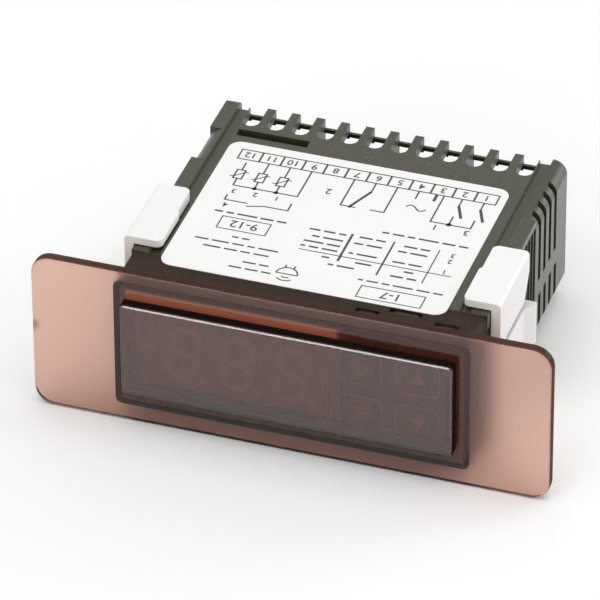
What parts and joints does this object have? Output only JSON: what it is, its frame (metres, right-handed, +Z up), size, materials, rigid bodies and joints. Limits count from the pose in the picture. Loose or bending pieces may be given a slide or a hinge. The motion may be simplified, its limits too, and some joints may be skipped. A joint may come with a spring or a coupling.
{
  "type": "temperature controller",
  "caption": "Flush-mounting temperature controller: smoked front plate with raised display window, vented rear case, comb-covered screw terminals and sliding side clips.",
  "frame": {"origin": "middle of the front plate's back face, where it meets the panel", "axes": "+X to the right seen from the front, +Y from the front to the rear through the panel, +Z up"},
  "size_m": [0.1032, 0.0694, 0.0342],
  "materials": {
    "smoked_plastic": "clear smoked brown, polished",
    "case_plastic": "fine spark texture, dark olive grey",
    "clip_plastic": "natural white nylon",
    "label_film": "white printed film",
    "board_laminate": "green solder mask",
    "display_plastic": "white reflector moulding",
    "foam": "conductive foam",
    "header_plastic": "black moulded",
    "chip_plastic": "black moulded",
    "ferrite": "pressed ferrite with taped winding",
    "capacitor_sleeve": "shrunk sleeve",
    "varistor_coat": "dipped coating",
    "terminal_plastic": "moulded dark grey",
    "tinned_copper": "tin plate",
    "relay_plastic": "black moulded",
    "screw_steel": "zinc plate",
    "cage_steel": "nickel plate"
  },
  "bodies": {
    "controller": {"front_bezel": "smoked_plastic", "upper_case": "case_plastic", "lower_case": "case_plastic", "rating_label": "label_film", "main_board": "board_laminate", "display_board": "board_laminate", "digit_display": "display_plastic", "touch_post_1": "foam", "touch_post_2": "foam", "touch_post_3": "foam", "touch_post_4": "foam", "link_header": "header_plastic", "service_header": "header_plastic", "microcontroller": "chip_plastic", "transformer": "ferrite", "filter_capacitor": "capacitor_sleeve", "buzzer": "chip_plastic", "varistor": "varistor_coat", "terminal_block": "terminal_plastic", "terminal_contacts": "tinned_copper", "compressor_relay": "relay_plastic", "defrost_relay": "relay_plastic", "fan_relay": "relay_plastic"},
    "left_clip": {"left_clip": "clip_plastic"},
    "right_clip": {"right_clip": "clip_plastic"},
    "screw_01": {"terminal_screw_01": "screw_steel"},
    "cage_01": {"terminal_cage_01": "cage_steel"},
    "screw_02": {"terminal_screw_02": "screw_steel"},
    "cage_02": {"terminal_cage_02": "cage_steel"},
    "screw_03": {"terminal_screw_03": "screw_steel"},
    "cage_03": {"terminal_cage_03": "cage_steel"},
    "screw_04": {"terminal_screw_04": "screw_steel"},
    "cage_04": {"terminal_cage_04": "cage_steel"},
    "screw_05": {"terminal_screw_05": "screw_steel"},
    "cage_05": {"terminal_cage_05": "cage_steel"},
    "screw_06": {"terminal_screw_06": "screw_steel"},
    "cage_06": {"terminal_cage_06": "cage_steel"},
    "screw_07": {"terminal_screw_07": "screw_steel"},
    "cage_07": {"terminal_cage_07": "cage_steel"},
    "screw_08": {"terminal_screw_08": "screw_steel"},
    "cage_08": {"terminal_cage_08": "cage_steel"},
    "screw_09": {"terminal_screw_09": "screw_steel"},
    "cage_09": {"terminal_cage_09": "cage_steel"},
    "screw_10": {"terminal_screw_10": "screw_steel"},
    "cage_10": {"terminal_cage_10": "cage_steel"},
    "screw_11": {"terminal_screw_11": "screw_steel"},
    "cage_11": {"terminal_cage_11": "cage_steel"},
    "screw_12": {"terminal_screw_12": "screw_steel"},
    "cage_12": {"terminal_cage_12": "cage_steel"}
  },
  "joints": [
    {"name": "left_clip_slide", "type": "slide", "parent": "controller", "child": "left_clip", "axis": [0, 1, 0], "range_m": [-0.0105, 0.034]},
    {"name": "right_clip_slide", "type": "slide", "parent": "controller", "child": "right_clip", "axis": [0, 1, 0], "range_m": [-0.0105, 0.034]},
    {"name": "screw_01_turn", "type": "hinge", "parent": "controller", "child": "screw_01", "pos_m": [0.02794, 0.0598, 0], "axis": [0, 0, 1], "range_deg": [-1800, 0]},
    {"name": "cage_01_lift", "type": "slide", "parent": "controller", "child": "cage_01", "axis": [0, 0, 1], "range_m": [0, 0.0025]},
    {"name": "screw_02_turn", "type": "hinge", "parent": "controller", "child": "screw_02", "pos_m": [0.02286, 0.0598, 0], "axis": [0, 0, 1], "range_deg": [-1800, 0]},
    {"name": "cage_02_lift", "type": "slide", "parent": "controller", "child": "cage_02", "axis": [0, 0, 1], "range_m": [0, 0.0025]},
    {"name": "screw_03_turn", "type": "hinge", "parent": "controller", "child": "screw_03", "pos_m": [0.01778, 0.0598, 0], "axis": [0, 0, 1], "range_deg": [-1800, 0]},
    {"name": "cage_03_lift", "type": "slide", "parent": "controller", "child": "cage_03", "axis": [0, 0, 1], "range_m": [0, 0.0025]},
    {"name": "screw_04_turn", "type": "hinge", "parent": "controller", "child": "screw_04", "pos_m": [0.0127, 0.0598, 0], "axis": [0, 0, 1], "range_deg": [-1800, 0]},
    {"name": "cage_04_lift", "type": "slide", "parent": "controller", "child": "cage_04", "axis": [0, 0, 1], "range_m": [0, 0.0025]},
    {"name": "screw_05_turn", "type": "hinge", "parent": "controller", "child": "screw_05", "pos_m": [0.00762, 0.0598, 0], "axis": [0, 0, 1], "range_deg": [-1800, 0]},
    {"name": "cage_05_lift", "type": "slide", "parent": "controller", "child": "cage_05", "axis": [0, 0, 1], "range_m": [0, 0.0025]},
    {"name": "screw_06_turn", "type": "hinge", "parent": "controller", "child": "screw_06", "pos_m": [0.00254, 0.0598, 0], "axis": [0, 0, 1], "range_deg": [-1800, 0]},
    {"name": "cage_06_lift", "type": "slide", "parent": "controller", "child": "cage_06", "axis": [0, 0, 1], "range_m": [0, 0.0025]},
    {"name": "screw_07_turn", "type": "hinge", "parent": "controller", "child": "screw_07", "pos_m": [-0.00254, 0.0598, 0], "axis": [0, 0, 1], "range_deg": [-1800, 0]},
    {"name": "cage_07_lift", "type": "slide", "parent": "controller", "child": "cage_07", "axis": [0, 0, 1], "range_m": [0, 0.0025]},
    {"name": "screw_08_turn", "type": "hinge", "parent": "controller", "child": "screw_08", "pos_m": [-0.00762, 0.0598, 0], "axis": [0, 0, 1], "range_deg": [-1800, 0]},
    {"name": "cage_08_lift", "type": "slide", "parent": "controller", "child": "cage_08", "axis": [0, 0, 1], "range_m": [0, 0.0025]},
    {"name": "screw_09_turn", "type": "hinge", "parent": "controller", "child": "screw_09", "pos_m": [-0.0127, 0.0598, 0], "axis": [0, 0, 1], "range_deg": [-1800, 0]},
    {"name": "cage_09_lift", "type": "slide", "parent": "controller", "child": "cage_09", "axis": [0, 0, 1], "range_m": [0, 0.0025]},
    {"name": "screw_10_turn", "type": "hinge", "parent": "controller", "child": "screw_10", "pos_m": [-0.01778, 0.0598, 0], "axis": [0, 0, 1], "range_deg": [-1800, 0]},
    {"name": "cage_10_lift", "type": "slide", "parent": "controller", "child": "cage_10", "axis": [0, 0, 1], "range_m": [0, 0.0025]},
    {"name": "screw_11_turn", "type": "hinge", "parent": "controller", "child": "screw_11", "pos_m": [-0.02286, 0.0598, 0], "axis": [0, 0, 1], "range_deg": [-1800, 0]},
    {"name": "cage_11_lift", "type": "slide", "parent": "controller", "child": "cage_11", "axis": [0, 0, 1], "range_m": [0, 0.0025]},
    {"name": "screw_12_turn", "type": "hinge", "parent": "controller", "child": "screw_12", "pos_m": [-0.02794, 0.0598, 0], "axis": [0, 0, 1], "range_deg": [-1800, 0]},
    {"name": "cage_12_lift", "type": "slide", "parent": "controller", "child": "cage_12", "axis": [0, 0, 1], "range_m": [0, 0.0025]}
  ],
  "couplings": [
    {"joint": "screw_01_turn", "follows": "cage_01_lift", "rad_per_m": -12566},
    {"joint": "screw_02_turn", "follows": "cage_02_lift", "rad_per_m": -12566},
    {"joint": "screw_03_turn", "follows": "cage_03_lift", "rad_per_m": -12566},
    {"joint": "screw_04_turn", "follows": "cage_04_lift", "rad_per_m": -12566},
    {"joint": "screw_05_turn", "follows": "cage_05_lift", "rad_per_m": -12566},
    {"joint": "screw_06_turn", "follows": "cage_06_lift", "rad_per_m": -12566},
    {"joint": "screw_07_turn", "follows": "cage_07_lift", "rad_per_m": -12566},
    {"joint": "screw_08_turn", "follows": "cage_08_lift", "rad_per_m": -12566},
    {"joint": "screw_09_turn", "follows": "cage_09_lift", "rad_per_m": -12566},
    {"joint": "screw_10_turn", "follows": "cage_10_lift", "rad_per_m": -12566},
    {"joint": "screw_11_turn", "follows": "cage_11_lift", "rad_per_m": -12566},
    {"joint": "screw_12_turn", "follows": "cage_12_lift", "rad_per_m": -12566}
  ]
}
